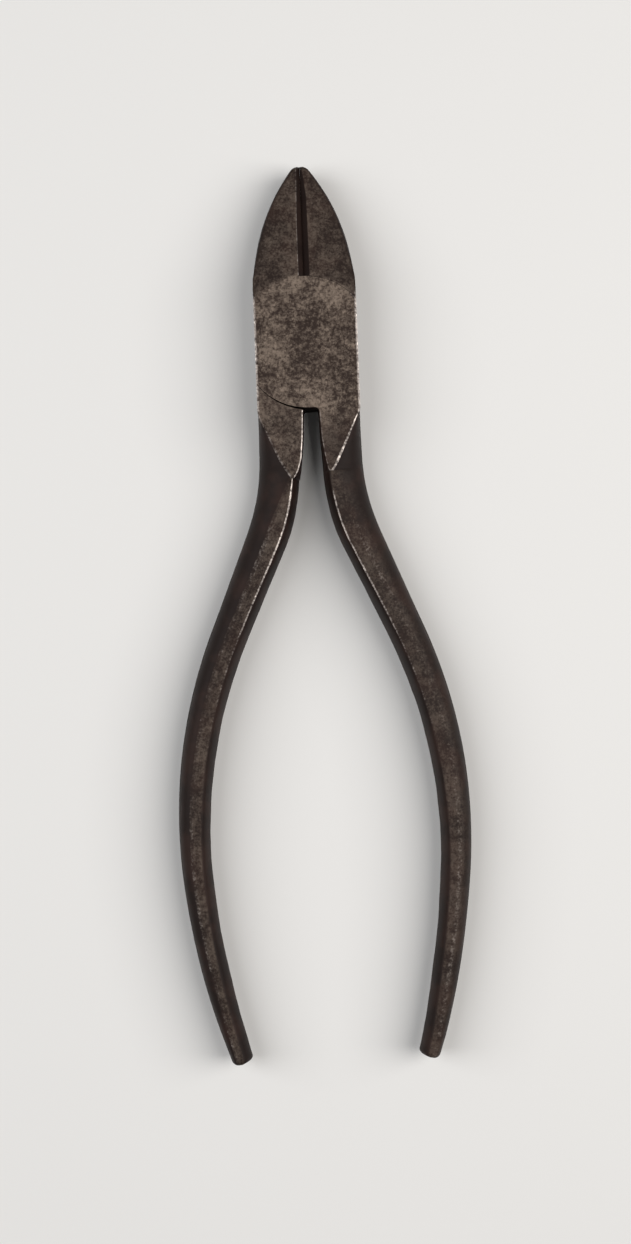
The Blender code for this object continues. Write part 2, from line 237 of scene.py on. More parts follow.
def jaw(lever):
    """Sections from the tip to the heel, spaced by angle round the tip. The left side is the outline's half
    width; the right side is the sharp edge, set back on each face by the bevel's half width."""
    tip = TIP_Y - TIP * (1 - np.cos(np.linspace(0.06, 1.3, 14)))
    y = np.concatenate([tip, np.linspace(tip[-1], RIM, 64)[1:]])
    half = jaw_side(y)
    share = (TIP_Y - y) / (TIP_Y - RIM)
    groove = np.minimum(np.interp(share, lever["groove_at"], lever["groove"]), 0.8 * half)
    hollow = np.minimum(np.interp(share, (0, 1), HOLLOW), 0.85 * half)
    depth = np.minimum(groove * HALF / half_height(0 * y, y), BEVEL_DEPTH)
    above, below = (groove, hollow) if lever["front_up"] else (hollow, groove)
    edge_z = THICK - depth if lever["front_up"] else depth
    lean = np.minimum(LEAN, 0.4 * half) * np.clip((1 - share) * 4, 0, 1)
    run = Run(
        y,
        top_left=(-half + lean, THICK),
        top_right=(-above, THICK),
        right=(-EDGE, edge_z),
        low_right=(-below, 0),
        step_a=(-below - 0.3 * (half - below), 0),
        step_b=(-below - 0.6 * (half - below), 0),
        low_left=(-half + lean, 0),
        left=(-half, HALF),
    )
    run.put("rounding", top_right=0.05, low_right=0.05, right=0.01, top_left=0.3, low_left=0.3)
    run.put("rounding", step_a=0, step_b=0, left=0)
    run.put("bulge", top_right=0.02, right=0.02, low_left=0.85, left=0.85)
    # Partly painted highlight: the groove edge's wear is high only on the jaw whose edge faces the right lamp.
    run.put("wear", top_right=lever["groove_wear_and_glint"], low_right=lever["groove_wear_and_glint"], right=0.25)
    run.put("wear", top_left=0.1, low_left=0.1)
    # Painted shade: both bevels along the cutting edge are darkened in colour, as if shade lay in the groove.
    run.put("painted_shade", top_right=lever["painted_shade"], right=lever["painted_shade"])
    run.put("forged", low_left=0.4, left=0.4)
    # The bevels' low polish is painted shade as well: it keeps the groove dark.
    return run.put("polish", top_left=1, low_right=1, step_a=1, step_b=1, top_right=0.1, right=0.1)


# %% [markdown]
# ## The joint
#
# Each lever gives the joint a plate of half the thickness. The plate is round where it meets the other
# lever's jaw and handle, and straight down both sides. Under it the lever's own jaw and handle keep their
# full thickness, so a step runs across the section along the round shoulder. Where the rim crosses the
# sections at a slant, the sections are spaced by angle and not by distance, so the arc stays smooth.


# %% Circles of the joint
def arc_y(radius, start, stop, count):
    """Positions y on a circle, evenly spaced by angle, between two values of y."""
    return radius * np.cos(np.linspace(math.acos(start / radius), math.acos(stop / radius), count))


def chord(radius, y):
    """Half the chord of a circle at y, no wider than the head."""
    return np.minimum(np.sqrt(np.maximum(radius**2 - y**2, 0)), HEAD)


def low_shoulder(y):
    """Where the shoulder above the handle stands at y: a circle whose radius is the rim's and a gap that
    widens evenly from the side of the head to the slot."""
    x = np.linspace(HEAD, 0, 60)
    radius = RIM_BELOW + np.interp(x, (0, HEAD), GAP_BELOW[::-1])
    return np.interp(-y, np.sqrt(radius**2 - x**2), x)


def slot_fillet(y):
    """How far the slot's corner is rounded into its width at y: a quarter circle below the rim."""
    below = np.clip((-RIM_BELOW - y) / SLOT_FILLET, 0, 1)
    return SLOT_FILLET * (1 - np.sqrt(1 - (1 - below) ** 2))


print(f"half the chord across the rim 2 mm from its top: {chord(RIM, RIM - 2):.2f} mm")

# %% Where the joint's runs meet
PLATE_LOW = HALF + LAP
PLATE_MIDDLE = (THICK + PLATE_LOW) / 2
HEEL_Y = math.sqrt(SHOULDER**2 - HEAD**2)
BELOW_Y = -math.sqrt(RIM_BELOW**2 - HEAD**2)
ROOT_Y = -math.sqrt((RIM_BELOW + GAP_BELOW[0]) ** 2 - HEAD**2)
ROWS = 34  # how many sections an arc takes
print(f"the plate is straight from {HEEL_Y:.2f} down to {BELOW_Y:.2f}; the shoulder starts at {ROOT_Y:.2f}")


# %% What all runs of the joint have in common
def ground(run):
    """A clean flat top, worn along both its edges, and sides that bulge a little."""
    run.put("rounding", top_left=0.2, top_right=0.2, low_left=0.06, right=0, left=0, step_a=0, step_b=0)
    run.put("bulge", top_right=0.7, right=0.7, low_left=0.7, left=0.7)
    return run.put("wear", top_left=0.75, top_right=0.75).put("polish", top_left=1.0)


# %% The heel of the jaw
CHIPS_Y = 7.4  # below this place the rim is chipped
CHIPS_LENGTH = 1.2  # over how much length the chips get worse
CHIPPED = (0.25, 0.45)  # wear of the whole rim, and how much the chips add


def heel():
    """The plate's rim on the right, and on the left the jaw, which ends below the plate in its shoulder."""
    y = arc_y(RIM, RIM - 0.002, HEEL_Y, ROWS)
    side = jaw_side(y)
    rim, step = np.minimum(chord(RIM, y), side), np.maximum(-chord(SHOULDER, y), -side)
    run = ground(Run(
        y, top_left=(-side, THICK), top_right=(rim, THICK), right=(rim, PLATE_MIDDLE),
        low_right=(rim, PLATE_LOW), step_a=(step, PLATE_LOW), step_b=(step, 0), low_left=(-side, 0),
        left=(-side, HALF),
    ))
    chips = CHIPPED[1] * np.clip((CHIPS_Y - y) / CHIPS_LENGTH, 0, 1)
    worn = CHIPPED[0] + chips
    run.put("wear", top_right=worn, top_left=worn, low_left=worn)
    return run.put("rounding", top_right=0.04 + 0.12 * chips, low_left=0.2).put("polish", step_b=1.0)


# %% The plate, and where its rim turns in
def plate():
    """The plate alone, straight on both sides. The step has no height here: its two corners only slide across
    under the plate, from the jaw's side to the handle's."""
    y = np.linspace(HEEL_Y - 0.02, BELOW_Y, ROWS)
    slide = np.linspace(-0.9, 0.9, ROWS) * HEAD
    return ground(Run(
        y, top_left=(-HEAD, THICK), top_right=(HEAD, THICK), right=(HEAD, PLATE_MIDDLE),
        low_right=(HEAD, PLATE_LOW), step_a=(slide, PLATE_LOW), step_b=(slide, PLATE_LOW),
        low_left=(-HEAD, PLATE_LOW), left=(-HEAD, PLATE_MIDDLE),
    ))


def turn_in():
    """The short stretch where the rim has left the side of the head and the shoulder hasn't begun."""
    y = np.linspace(BELOW_Y - 0.005, ROOT_Y, 3)
    rim = -chord(RIM_BELOW, y)
    return ground(Run(
        y, top_left=(rim, THICK), top_right=(HEAD, THICK), right=(HEAD, PLATE_MIDDLE),
        low_right=(HEAD, PLATE_LOW), step_a=(0.9 * HEAD, PLATE_LOW), step_b=(0.9 * HEAD, PLATE_LOW),
        low_left=(rim, PLATE_LOW), left=(rim, PLATE_MIDDLE),
    ))


# %% The shoulder over the handle, and the slot's corner
def root():
    """The plate's rim on the left, and on the right the handle, which starts below the plate."""
    y = arc_y(RIM_BELOW, ROOT_Y - 0.01, -RIM_BELOW + 0.002, ROWS)
    rim, step = -chord(RIM_BELOW, y), low_shoulder(y)
    return ground(Run(
        y, top_left=(rim, THICK), top_right=(HEAD, THICK), right=(HEAD, HALF), low_right=(HEAD, 0),
        step_a=(step, 0), step_b=(step, PLATE_LOW), low_left=(rim, PLATE_LOW), left=(rim, PLATE_MIDDLE),
    ))


def corner(lever):
    """Between the end of the rim and the end of the shoulder: the slot's rounded inside corner."""
    slot = np.interp(-RIM_BELOW, lever["slot_y"][::-1], lever["slot_x"][::-1])
    y = np.linspace(-RIM_BELOW - 0.01, -RIM_BELOW - GAP_BELOW[1] + 0.01, 8)
    step, inner = np.maximum(low_shoulder(y), slot), slot - slot_fillet(y)
    return ground(Run(
        y, top_left=(inner, THICK), top_right=(HEAD, THICK), right=(HEAD, HALF), low_right=(HEAD, 0),
        step_a=(step, 0), step_b=(step, PLATE_LOW), low_left=(inner, PLATE_LOW), left=(inner, PLATE_MIDDLE),
    ))


# %% The whole joint
def joint(lever):
    """The five runs. Each starts a hair below the one before, so that no two sections share a place."""
    below = [turn_in(), root(), corner(lever)]
    for run in below:
        run.put("wear", top_left=0.35).put("rounding", top_left=0.06)
    for run in below[1:]:
        run.put("wear", low_right=0.75, step_a=0.3).put("polish", low_right=lever["shine"])
        run.put("rounding", low_right=0.2, step_a=0.05)
    return [heel(), plate(), *below]


# %% [markdown]
# ## The root of the handle
#
# The forging grows thicker towards the joint, and the stone that made the joint flat also took the top off
# the root. That left a pointed tab: flat between the slot and the line where the forged side begins. Below
# its point the bar's own top appears, a little lower than the ground face.
#
# A handle's middle follows a line of bows: out, straight on, and then slowly back. The same line serves both
# levers, and the tab already stands on it at its lower end, so that it meets the bar without a kink.

# %% Centre line of a handle
BOWS = ((29.6, 23.5), (None, 14.1), (-71.9, 29.2), (-123.4, 40.0))  # radius and degrees, or a straight length
BAR_X, BAR_Y = 4.46, -16.18  # where the line starts, heading straight down
END_GAP = 0.3  # the end is square to a line that leans, so a corner of it reaches lower than its middle


def centre_line(step=0.05):
    """Length, x, y and heading down the handle: the heading turns evenly on each bow, and x and y are the
    running sums of its sine and cosine."""
    turns = []
    for radius, amount in BOWS:
        length = amount if radius is None else abs(radius) * math.radians(amount)
        turns.append(np.full(round(length / step), 0.0 if radius is None else step / radius))
    heading = np.concatenate([[0.0], np.cumsum(np.concatenate(turns))])
    middle = (heading[1:] + heading[:-1]) / 2
    x = BAR_X + np.concatenate([[0.0], np.cumsum(step * np.sin(middle))])
    y = BAR_Y - np.concatenate([[0.0], np.cumsum(step * np.cos(middle))])
    return step * np.arange(len(x)), x, y, heading


line_s, line_x, line_y, line_turn = centre_line()


def length_to(y):
    """Length down the handle at which its middle has come to y."""
    return float(np.interp(-y, -line_y, line_s))


LENGTH = length_to(END_Y) - END_GAP
print(f"a handle is {LENGTH:.1f} mm long, and its middle is {line_x.max():.1f} mm out at most")

# %% Sizes along the handle: each at a few places, and smooth between them
WIDTH = ((0, 5.76), (10, 5.95), (25, 5.25), (45, 4.85), (60, 4.34), (76, 3.9), (84, 3.45), (88, 3.1))
DRAFT = ((2.6, 0.98), (10, 1.08), (22, 1.2), (45, 1.2), (65, 1.25), (88, 1.3))  # inner side to ridge
BAND = (
    (2.6, 0.1), (4.5, 1.0), (9, 1.95), (16, 1.75), (35, 1.65), (50, 1.55), (65, 1.3), (78, 0.95), (88, 1.0),
)  # width of the flat band beside the ridge
SOFTER = ((2.6, 0.15), (12, 0.42), (30, 0.33), (50, 0.36), (70, 0.42), (88, 0.36))  # wear of its outer line
HEIGHT = ((2.6, 3.72), (30, 3.45), (60, 3.05), (80, 2.7), (88, 2.45))  # half thickness


def along(stations, s, reach=1.5):
    """A smooth curve through (place, size) pairs: straight lines, averaged over a few millimetres."""
    at, size = np.array(stations).T
    return np.mean([np.interp(s + d, at, size) for d in np.linspace(-reach, reach, 9)], axis=0)


for title, stations in (("width", WIDTH), ("band", BAND), ("half thickness", HEIGHT)):
    print(f"{title} 20, 50 and 80 mm down a handle:", along(stations, np.array([20, 50, 80])).round(2))

# %% The tab's sections
SIDE_TURNS = (12, 18)  # between these places below the rivet the head's side becomes the bar's
SHINE_FADES = 4.0  # over how much length the joint's clean finish fades below the rim


def tab(lever):
    """The ground tab: flat between the slot and the tab's edge, then a quarter oval down to the side."""
    head_y = np.concatenate([
        np.linspace(-RIM_BELOW - GAP_BELOW[1] - 0.01, -10.2, 12), np.linspace(-10.3, BAR_Y, 36),
    ])
    s = np.linspace(0, length_to(lever["tab_end"]), 14)[1:]
    y = np.concatenate([head_y, np.interp(s, line_s, line_y)])
    origin = np.concatenate([0 * head_y, np.interp(s, line_s, line_x)])
    turn = np.concatenate([0 * head_y, np.interp(s, line_s, line_turn)])
    at, x, middle = (np.array(lever[k])[::-1] for k in ("slot_y", "slot_x", "slot_mid"))
    inner, inner_mid = np.interp(y, at, x), np.interp(y, at, middle)
    fillet = slot_fillet(y)
    edge = np.interp(y, np.array(lever["tab_y"])[::-1], np.array(lever["tab_x"])[::-1])
    down = np.concatenate([0 * head_y, s])
    bar_side = np.interp(down, line_s, line_x) + along(WIDTH, down) / 2
    side = HEAD + (bar_side - HEAD) * np.interp(-y, SIDE_TURNS, (0, 1))
    edge = np.minimum(edge, side - 0.02)
    run = Run(
        y, x=origin, turn=turn,
        top_left=(inner - fillet - origin, THICK), top_right=(edge - origin, THICK),
        right=(side - origin, HALF), low_right=(edge - origin, 0),
        step_a=(inner + 0.6 * (edge - inner) - origin, 0),
        step_b=(inner + 0.4 * (edge - inner) - origin, 0), low_left=(inner - origin, 0),
        left=(inner_mid - 0.5 * fillet - origin, HALF),
    )
    run.put("rounding", top_left=0.11, top_right=0.14, low_left=0.11, low_right=0.14)
    run.put("rounding", right=0, left=0, step_a=0, step_b=0)
    run.put("bulge", top_right=0.75, right=0.75, low_left=0.5, left=0.5)
    # Partly painted highlight: the tab edge that faces the right lamp gets the higher wear.
    run.put("wear", top_left=lever["inner_wear_and_glint"], low_left=lever["inner_wear_and_glint"])
    run.put("wear", top_right=lever["outer_wear_and_glint"], low_right=lever["outer_wear_and_glint"])
    run.put("forged", top_right=1, right=1, low_left=0.3, left=0.3)
    shine = lever["shine"]
    joint_shine = np.clip(1 - (-RIM_BELOW - y) / SHINE_FADES, 0, 1)
    run.put("polish", low_right=shine, step_a=shine, step_b=shine)
    return run.put("polish", top_left=shine + (1 - shine) * joint_shine)


# %% [markdown]
# ## The bar
#
# The bar has a nearly upright inner side, a sharp ridge that the palm never reaches but the bench does, a
# narrow flat band, a second softer line, and then a full round outer side. Its section slowly gets smaller,
# and the end is sawn off and eased with a file. No two forgings bend alike, so near its end each handle
# leaves the common line a little, one outwards and one inwards.

# %% The bar's sections
END_ROUND = 0.7  # radius of the eased end
SWAY_AT = (60, 85)  # where a handle begins to leave the common line, and where it has left it in full
BAND_FALL = 0.06  # how much lower the band's outer line is than the ridge
TAB_FADES = 3.0  # over how much length the bar's outer line comes down from the tab's face
SPILL = 0.9  # over how much width the band's finish fades down the outer side


def bar(lever):
    """Sections square to the centre line; the last ones shrink like a quarter circle to make the end."""
    start = length_to(lever["tab_end"])
    body = np.linspace(start + 0.12, LENGTH - END_ROUND, 230)
    s = np.concatenate([body, LENGTH - END_ROUND + END_ROUND * np.sin(np.linspace(0, math.pi / 2, 12)[1:])])
    left = np.clip((s - LENGTH + END_ROUND) / END_ROUND, 0, 1)
    swayed = np.interp(s, SWAY_AT, (0, 1)) ** 2
    shrink = np.minimum(END_ROUND * (1 - np.sqrt(1 - left**2)), 0.93 * END_ROUND)
    width, height = along(WIDTH, s), along(HEIGHT, s) - shrink
    narrow = (width - 2 * shrink) / width
    ridge = (-width / 2 + along(DRAFT, s)) * narrow
    band = ridge + along(BAND, s) * narrow
    rise = (THICK - HALF - height[0] + BAND_FALL) * np.clip(1 - (s - start) / TAB_FADES, 0, 1) ** 2
    run = Run(
        np.interp(s, line_s, line_y), x=np.interp(s, line_s, line_x) + lever["sway"] * swayed,
        turn=np.interp(s, line_s, line_turn),
        top_left=(ridge, HALF + height), top_right=(band, HALF + height - BAND_FALL + rise),
        right=(width / 2 * narrow, HALF), low_right=(band, HALF - height + BAND_FALL - rise),
        step_a=(ridge + 0.6 * (band - ridge), HALF - height),
        step_b=(ridge + 0.4 * (band - ridge), HALF - height),
        low_left=(ridge, HALF - height), left=(-width / 2 * narrow, HALF),
    )
    run.put("rounding", top_left=0.14, low_left=0.14, top_right=0.3, low_right=0.3)
    run.put("rounding", right=0, left=0.1, step_a=0, step_b=0)
    run.put("bulge", top_right=0.74, right=0.74, low_left=0.45, left=0.45)
    rubbed, softer = along(lever["rubbed"], s, 0.6), along(SOFTER, s)
    run.put("wear", top_left=rubbed, low_left=rubbed, top_right=softer, low_right=softer)
    run.put("forged", top_left=0.5, low_right=0.5, step_a=0.5, step_b=0.5)
    run.put("forged", top_right=1, right=1, low_left=1, left=1)
    shine = lever["band_shine"]
    run.put("polish", top_left=shine, low_right=shine, step_a=shine, step_b=shine)
    return run.put("spill", top_right=SPILL)


# %% [markdown]
# ## From sections to a skin
#
# Each corner is rounded by a short curve between two points set back along its sides, and each side is a
# line or, where the forging is full, a quarter oval. A quarter oval is a blend of three points: the two
# corners and the point where their upright and level lines cross, whose weight says how full the curve is.
# The same sum gives every section at once, so the skin is a plain grid of points.
#
# The finish is worked out with the points. Wear is strongest at a corner and dies away from it on both
# sides, like heat from an edge. The other fields hold along a whole side, but for what spills over.

# %% Points round the section
SIDE_POINTS = dict(zip(CORNERS, (46, 18, 18, 18, 6, 18, 16, 16)))
CORNER_POINTS = 3
WEAR_REACH = 0.13  # how far from a corner its wear has fallen to about a third
CROWDING = 0.65  # how much of their spacing a side's points give up to crowd towards its corners
MOST_CUT = 0.4  # the most of a side that a rounding may take
UPRIGHT = ("top_right", "right", "low_left", "left")  # the sides that stand up
print(f"{sum(SIDE_POINTS.values()) + CORNER_POINTS * len(CORNERS)} points round each section")


def blend(a, b, c, t, weight=1.0):
    """The curve (1-t)^2 a + 2 w t(1-t) b + t^2 c, over the sum of its shares."""
    shares = (1 - t) ** 2, 2 * weight * t * (1 - t), t**2
    return (shares[0] * a + shares[1] * b + shares[2] * c) / (shares[0] + shares[1] + shares[2])


def side_curve(name, a, c, bulge, t):
    """One side of every section, from corner a to corner c: a quarter oval if it stands up, else straight."""
    if name not in UPRIGHT:
        return blend(a, (a + c) / 2, c, t)
    side_of, level_of = (c, a) if name in ("top_right", "low_left") else (a, c)
    crossing = np.stack(np.broadcast_arrays(side_of[..., 0], level_of[..., 1]), -1)
    return blend(a, crossing, c, t, bulge)


# %% Every section at once
def section_points(table):
    """All section points (sections, points, 2), with how worn, clean and forged each is and how much painted
    shade it gets. Wear is the sum of exp(-distance / reach) from the two corners of a side, each times its own
    wear."""
    corners, cut = table["corners"], table["rounding"]
    after = np.roll(corners, -1, axis=1)
    span = np.linalg.norm(after - corners, axis=2) + 1e-6
    first = np.minimum(cut / span, MOST_CUT)
    last = 1 - np.minimum(np.roll(cut, -1, axis=1) / span, MOST_CUT)
    sides, worn, flat = [], [], {"polish": [], "forged": [], "painted_shade": []}
    for i, name in enumerate(CORNERS):
        spread = np.linspace(0, 1, SIDE_POINTS[name])
        spread = (1 - CROWDING) * spread + CROWDING * (1 - np.cos(math.pi * spread)) / 2
        t = first[:, i, None] + (last - first)[:, i, None] * spread
        bulge = table["bulge"][:, i, None, None]
        sides.append(side_curve(name, corners[:, i, None], after[:, i, None], bulge, t[..., None]))
        here, there = table["wear"][:, i, None], np.roll(table["wear"], -1, axis=1)[:, i, None]
        gone = (t - first[:, i, None]) * span[:, i, None]
        left = (last[:, i, None] - t) * span[:, i, None]
        worn.append(here * np.exp(-gone / WEAR_REACH) + there * np.exp(-left / WEAR_REACH))
        for field, rows in flat.items():
            rows.append(np.repeat(table[field][:, i, None], SIDE_POINTS[name], axis=1))
        reach = table["spill"][:, i, None]
        spilt = (reach > 0) * np.exp(-gone / np.maximum(reach, 0.01))
        flat["polish"][-1] += spilt * (table["polish"][:, i - 1, None] - flat["polish"][-1])
    bend = np.linspace(0, 1, CORNER_POINTS + 2)[1:-1, None]
    ring, ring_worn, ring_flat = [], [], {field: [] for field in flat}
    for i in range(len(CORNERS)):
        ring += [blend(sides[i - 1][:, -1, None], corners[:, i, None], sides[i][:, 0, None], bend), sides[i]]
        ring_worn += [np.repeat(table["wear"][:, i, None], CORNER_POINTS, axis=1), worn[i]]
        for field, rows in flat.items():
            between = (rows[i - 1][:, -1:] + rows[i][:, :1]) / 2
            ring_flat[field] += [np.repeat(between, CORNER_POINTS, axis=1), rows[i]]
    parts = ring, ring_worn, *ring_flat.values()
    return [np.concatenate(part, 1) for part in parts]


# %% Sections set in space
JAW_SHINE = 0.42  # how clean the jaws are, where the joint is 1
JAW_FADES = 0.5  # over how much length past the rim this sets in


def skin_points(table):
    """Section points set in space: across the lever at each station's heading, and up, squeezed towards the
    middle of the thickness where the jaw thins."""
    flat, worn, polished, forged, painted_shade = section_points(table)
    x, y, turn = (table["place"][:, i, None] for i in range(3))
    across, z = flat[..., 0], flat[..., 1]
    points = np.stack([x + across * np.cos(turn), y + across * np.sin(turn), z], -1)
    points[..., 2] = HALF + (z - HALF) * half_height(points[..., 0], points[..., 1]) / HALF
    past = np.clip(beyond_rim(points[..., 0], points[..., 1]) / JAW_FADES, 0, 1)
    return points, worn, polished * (1 - (1 - JAW_SHINE) * past), forged, painted_shade


# %% [markdown]
# ## Hand-made steel is not smooth
#
# Forge scale leaves the bars faintly wavy and pitted, and years of use knock small nicks into the ridges.
# These are made by moving the skin in along its normals by a noise: random numbers on a lattice, blended
# smoothly between its points. The ground faces are left alone, so they stay flat.


# %% Noise on a lattice, and the skin's normals
def lattice_noise(points, size, seed):
    """Values from -1 to 1 that change over about `size` mm: eight lattice values blended by 3t^2 - 2t^3."""
    table = np.random.default_rng(seed).uniform(-1, 1, (32, 32, 32))
    cell = np.floor(points / size).astype(int)
    t = points / size - cell
    t = t * t * (3 - 2 * t)
    total = 0
    for corner in np.ndindex(2, 2, 2):
        value = table[tuple(((cell + corner) % 32)[..., k] for k in range(3))]
        total = total + value * np.prod(np.where(np.array(corner) == 1, t, 1 - t), axis=-1)
    return total


def grid_normals(points):
    """Outward normals of the grid: the cross product of its two directions."""
    round_it = np.roll(points, -1, axis=1) - np.roll(points, 1, axis=1)
    normal = np.cross(np.gradient(points, axis=0), round_it)
    return normal / (np.linalg.norm(normal, axis=2, keepdims=True) + 1e-12)


# %% Waves, pits and nicks
SCALE_OFF = 0.06  # how far forged faces stand back, which gives the waves room
WAVE_DEPTHS = (0.045, 0.022)  # of the long waves and the short ones
PIT_DEPTH = 0.05  # at most, in the scale
NICK_DEPTH = 0.12  # at most, in a worn edge


def roughened(points, worn, forged):
    """The skin moved in by forged * (scale + waves + pits) + nicks, where pits and nicks are only the tops
    of their noises, and nicks come where an edge is worn and forged."""
    long_waves = WAVE_DEPTHS[0] * lattice_noise(points, 3.3, 11)
    short_waves = WAVE_DEPTHS[1] * lattice_noise(points, 1.2, 12)
    pits = PIT_DEPTH * np.clip(lattice_noise(points, 0.6, 13) - 0.4, 0, 1)
    nicks = NICK_DEPTH * worn * np.clip(lattice_noise(points, 0.9, 14) - 0.2, 0, 1)
    inward = forged * (SCALE_OFF + (long_waves + short_waves) + pits) + nicks * np.clip(forged * 4, 0, 1)
    return points - grid_normals(points) * inward[..., None]


# %% Grid to mesh
MERGE = 0.001 * MM  # points closer than this are one


def tidy_mesh(mesh):
    """Points that share a place become one, and faces that this leaves without an area go."""
    work = bmesh.new()
    work.from_mesh(mesh)
    bmesh.ops.remove_doubles(work, verts=work.verts, dist=MERGE)
    bmesh.ops.dissolve_degenerate(work, edges=work.edges, dist=MERGE)
    work.to_mesh(mesh)
    work.free()


def closed_mesh(name, points, values):
    """A closed skin: quads between neighbouring sections, and a fan to a pole at each end. The values go on
    the mesh's corners as a colour, so that cutting the skin later keeps them."""
    rows, ring = points.shape[:2]
    index = np.arange(rows * ring).reshape(rows, ring)
    turned = np.roll(index, -1, axis=1)
    quads = np.stack([index[:-1], index[1:], turned[1:], turned[:-1]], -1).reshape(-1, 4)
    poles = rows * ring + np.arange(2)
    start = np.stack([np.full(ring, poles[0]), index[0], turned[0]], -1)
    stop = np.stack([np.full(ring, poles[1]), turned[-1], index[-1]], -1)
    spots = np.concatenate([points.reshape(-1, 3), points[0].mean(0)[None], points[-1].mean(0)[None]]) * MM
    mesh = bpy.data.meshes.new(name)
    mesh.vertices.add(len(spots))
    mesh.vertices.foreach_set("co", spots.astype(np.float32).ravel())
    loops = np.concatenate([quads.ravel(), start.ravel(), stop.ravel()])
    mesh.loops.add(len(loops))
    mesh.loops.foreach_set("vertex_index", loops.astype(np.int32))
    starts = np.concatenate([np.arange(len(quads)) * 4, len(quads) * 4 + np.arange(2 * ring) * 3])
    mesh.polygons.add(len(starts))
    mesh.polygons.foreach_set("loop_start", starts.astype(np.int32))
    mesh.update(calc_edges=True)
    values = np.concatenate([values.reshape(-1, 4), values.reshape(-1, 4)[:1], values.reshape(-1, 4)[-1:]])
    layer = mesh.color_attributes.new("finish", "FLOAT_COLOR", "CORNER")
    layer.data.foreach_set("color", values[loops].astype(np.float32).ravel())
    tidy_mesh(mesh)
    piece = bpy.data.objects.new(name, mesh)
    bpy.context.scene.collection.objects.link(piece)
    return piece


# %% The two levers' skins
def lever_skin(name):
    """All of a lever's runs as one skin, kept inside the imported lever's box. The lower one is then turned
    over about the tool's long middle line: x becomes -x, and z the thickness less z."""
    lever = LEVERS[name]
    table = joined([jaw(lever), *joint(lever), tab(lever), bar(lever)])
    points, worn, polished, forged, painted_shade = skin_points(table)
    points = roughened(points, worn, forged)
    points = np.clip(points, np.array(lever_low) / MM, np.array(lever_high) / MM)
    if name == "lower":
        points = points * (-1, 1, -1) + (0, 0, THICK)
    # Blue is the painted shade of the groove; green is wear, with a painted highlight on some edges.
    values = np.stack([polished, np.clip(worn, 0, 1), painted_shade, np.ones_like(worn)], -1)
    piece = closed_mesh(name + "_lever_skin", points, values)
    print(f"{piece.name}: {len(table['place'])} sections, {len(piece.data.polygons)} faces")
    return piece


upper, lower = lever_skin("upper"), lever_skin("lower")

# %% [markdown]
# ## The rivet
#
# The rivet was hammered into a countersink on both faces and then ground flush with them, so only a hairline
# ring tells where it is. Its shape is a profile of radius and height turned round the joint's axis. The same
# profile, a hair larger, cuts the hole through both levers.

# %% A turned solid
SHANK = 2.4  # radius between the two countersinks
HEAD_DEPTH = 0.9  # how deep a countersink goes
HEAD_EDGE = 0.25  # how deep its straight part is
TURN_STEPS = 128
PLAY = (0.015, 0.02)  # how much narrower than their hole the rivet's head and its shank are


def turned(name, radius, shank, reach, eased):
    """A closed solid of revolution: x = r cos a, y = r sin a, z = h, for (r, h) along the profile, which runs
    from half way out on the lower face to half way out on the upper one. Its faces lie at the reach from the
    middle of the thickness, and their edges are eased."""
    half = [
        (0.5 * radius, -reach), (radius - eased, -reach), (radius, -reach + eased),
        (radius, -HALF + HEAD_EDGE), (shank, -HALF + HEAD_DEPTH),
    ]
    profile = np.array(half + [(shank, 0.0)] + [(r, -h) for r, h in half[::-1]])
    angle = np.linspace(0, 2 * math.pi, TURN_STEPS, endpoint=False)
    r, h = profile[:, 0, None], profile[:, 1, None]
    points = np.stack([r * np.cos(angle), r * np.sin(angle), HALF + h + 0 * angle], -1)
    values = np.zeros(points.shape[:2] + (4,)) + (0, 0, 0, 1)
    values[:2] = values[-2:] = (1, 0, 0, 1)
    return closed_mesh(name, points[:, ::-1], values[:, ::-1])


def cut_hole(piece):
    """Cuts the rivet's hole and keeps the result, so that nothing live is left on the piece."""
    cutter = turned("hole_cutter", RIVET, SHANK + PLAY[1], HALF + 0.5, 0.0)
    step = piece.modifiers.new("hole", "BOOLEAN")
    step.operation, step.solver, step.object = "DIFFERENCE", "EXACT", cutter
    ready = piece.evaluated_get(bpy.context.evaluated_depsgraph_get())
    mesh = bpy.data.meshes.new_from_object(ready)
    piece.modifiers.clear()
    piece.data = mesh
    bpy.data.objects.remove(cutter)
    print(f"{piece.name}: {sum(len(p.vertices) - 2 for p in mesh.polygons)} triangles with its hole")


rivet = turned("rivet_skin", RIVET - PLAY[0], SHANK, HALF, 0.02)
for piece in (upper, lower):
    cut_hole(piece)
print(f"{rivet.name}: {len(rivet.data.polygons)} faces")

# %% [markdown]
# ## Steel that has been used for years
#
# The finish has three layers. Under everything is forge scale: nearly black, dull, a little brown where it
# rusts. Where the stone ground it, the steel shows through a grey brown bloom, mottled at about a millimetre
# and grained much finer. And where hands and the bench have rubbed the ridges, it is bare and bright. Over
# them, the groove's bevels get a painted shade, a near-black colour. The skin's own colour attribute says
# where each belongs: red is how clean the ground face is, green how worn an edge is, with a painted
# highlight on some edges that face the right lamp, and blue how much painted shade darkens the groove.
#
# None of it comes from an image. Noises of four sizes are added up and cut off softly, so that the bloom
# breaks into patches, spots and dust, and the same noises decide where a worn edge is bright and where it is
# still dark.

